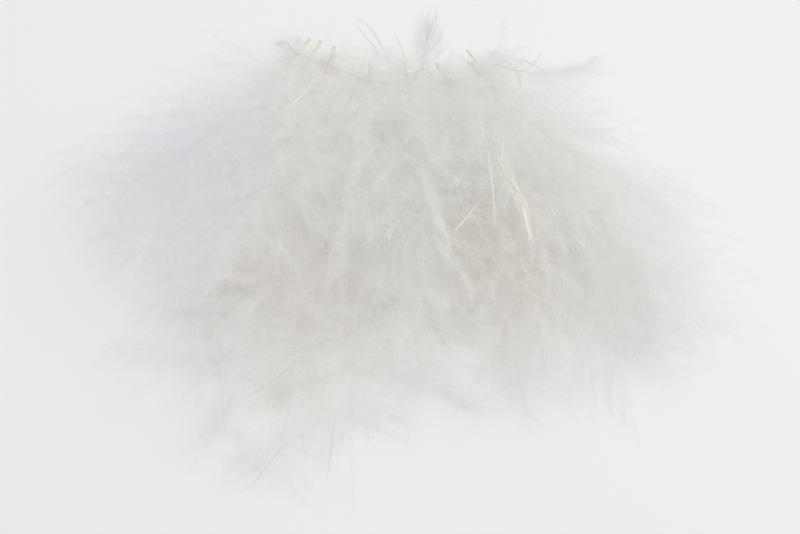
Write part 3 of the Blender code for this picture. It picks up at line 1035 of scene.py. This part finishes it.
add_strands("standing_barbs", [
    strand(
        laid((3.3, 59.3, 32), (1.7, 60.9, 34), (-1.2, 65.6, 37), (-4.5, 69.6, 39), (-7.7, 72.1, 40)),
        0.22 * MM,
    ),
    strand(laid((-0.6, 59.8, 31), (-2.2, 63.7, 34), (-5.1, 66.3, 37), (-9.0, 70.3, 40)), 0.17 * MM),
    strand(laid((8.5, 59.3, 32), (7.2, 61.3, 33), (5.9, 64.6, 36), (4.6, 67.2, 38)), 0.17 * MM),
], GREY, "top_feather_4")
add_strands("curled_barbs", [
    strand(laid((40.1, 62.2, 32), (43.6, 58.9, 36), (48.2, 57.0, 37), (55.0, 53.1, 36)), 0.18 * MM),
    strand(laid((48.2, 56.9, 34), (49.8, 57.4, 36), (52.4, 60.8, 38)), 0.16 * MM),
    strand(laid((27.4, 63.7, 34), (28.4, 61.4, 36), (31.6, 57.1, 36)), 0.4 * MM),
], GREY, "top_feather_7")
add_strands("low_bare_barbs", [
    strand(on_down((-26.9, -37.2), (-34.7, -45.0), (-42.8, -52.3), over=88), 0.2 * MM),
    strand(on_down((-29.5, -64.8), (-35.7, -72.5), (-42.2, -79.3), over=85), 0.16 * MM),
    strand(on_down((-15.2, -57.0), (-16.2, -67.3), (-17.5, -76.8), over=85), 0.16 * MM),
], GREY, "bottom_feather_3")
add_strands("bare_shaft", [
    strand(on_down((-20.4, 51.0), (-25.3, 43.9), (-30.1, 38.2), (-35.0, 35.8)), 0.85 * MM),
], HORN, "top_feather_2")

# %% Barbs stuck together
STUCK = 14
rng = np.random.default_rng(23)
string = on_down((33.5, 35.0), (37.0, 27.5), (39.2, 18.0), (45.0, 5.0), (48.0, -8.0))
print("string of stuck barbs, height mm:", (string[:, 2] / MM).round(1))

narrowing = np.linspace(1.2, 0.2, len(string))[:, None]
stuck = []
for number in range(STUCK):
    spread = rng.normal(0, 2.0, (len(string), 3)) * MM * np.array((1.0, 1.0, 0.3)) * narrowing
    start = rng.integers(0, 3)
    stuck.append(strand((string + spread)[start:], rng.uniform(0.16, 0.4) * MM))
stuck.append(strand(string[3:] + (0, 0, 0.2 * MM), 0.9 * MM))
for places in (
    ((34.5, 22.5), (35.8, 9.0), (36.5, -2.0)),
    ((31.6, 6.5), (27.0, 0.0), (23.2, -7.0)),
    ((54.0, 5.0), (56.0, 1.0)),
    ((61.8, -5.5), (65.4, -9.5)),
):
    stuck.append(strand(on_down(*places), 0.4 * MM))
add_strands("stuck_barbs", stuck, CREAM, "top_feather_6")

# %% [markdown]
# ## Table and light
#
# The bunch lies on white paper under soft studio light. Light goes in and out of white down many times,
# and each time little is lost: with few bounces the heap would turn grey, so many are allowed. Sky
# alone would be too even, and lamps alone too hard, so a pale sky gives most of the light and one large
# disk lamp, high on the right, models the locks.

# %% Paper under the bunch
scene = bpy.context.scene
scene.view_settings.view_transform = "Standard"
scene.cycles.max_bounces = 20
scene.cycles.diffuse_bounces = 16
scene.cycles.transmission_bounces = 16

bpy.ops.mesh.primitive_plane_add(size=6)
floor = bpy.context.object
floor.name = "floor"
paper = Finish("white paper")
paper.feed(paper.surface, {
    "Base Color": (0.86, 0.86, 0.865, 1),
    "Emission Color": (1, 1, 1, 1),
    "Emission Strength": 0.07,
    "Roughness": 0.9,
})
floor.data.materials.append(paper.material)

# %% Sky and lamp
SKY_STRENGTH = 0.69
LAMP_PLACE = Vector((0.42, 0.3, 0.85))

world = bpy.data.worlds.new("studio")
scene.world = world
world.use_nodes = True
world.node_tree.nodes["Background"].inputs["Color"].default_value = (0.98, 0.985, 1.0, 1)
world.node_tree.nodes["Background"].inputs["Strength"].default_value = SKY_STRENGTH

disk = bpy.data.lights.new("key", "AREA")
disk.shape = "DISK"
disk.size = 1.5
disk.energy = 4.0
disk.color = (1, 0.995, 0.98)
lamp = bpy.data.objects.new("key", disk)
scene.collection.objects.link(lamp)
lamp.location = LAMP_PLACE
lamp.rotation_euler = (-LAMP_PLACE).to_track_quat("-Z", "Y").to_euler()
print("lamp to the bunch, m:", round(LAMP_PLACE.length, 2))

# %% [markdown]
# ## Camera
#
# The photograph was taken from the front and high up. A long lens from far away keeps the far plumes
# as large as the near ones, as it does there. The distance follows from the lens and from how many
# millimetres of the bunch fill one pixel across.

# %% Camera
WIDTH_IN_PIXELS = 800
MM_PER_PIXEL = 0.325
FOCAL, SENSOR = 200, 36
ELEVATION = math.radians(65)

target = np.array((5.94, -6.3, 15.0)) - BASE_CENTRE
distance = WIDTH_IN_PIXELS * MM_PER_PIXEL * FOCAL / SENSOR
back = np.array((0, -math.cos(ELEVATION), math.sin(ELEVATION)))
lens = bpy.data.cameras.new("camera")
lens.lens = FOCAL
lens.clip_start = 0.05
camera = bpy.data.objects.new("camera", lens)
scene.collection.objects.link(camera)
camera.location = (target + back * distance) * MM
camera.rotation_euler = (math.pi / 2 - ELEVATION, 0, 0)
scene.camera = camera
print("camera to the bunch, m:", round(distance * MM, 2))
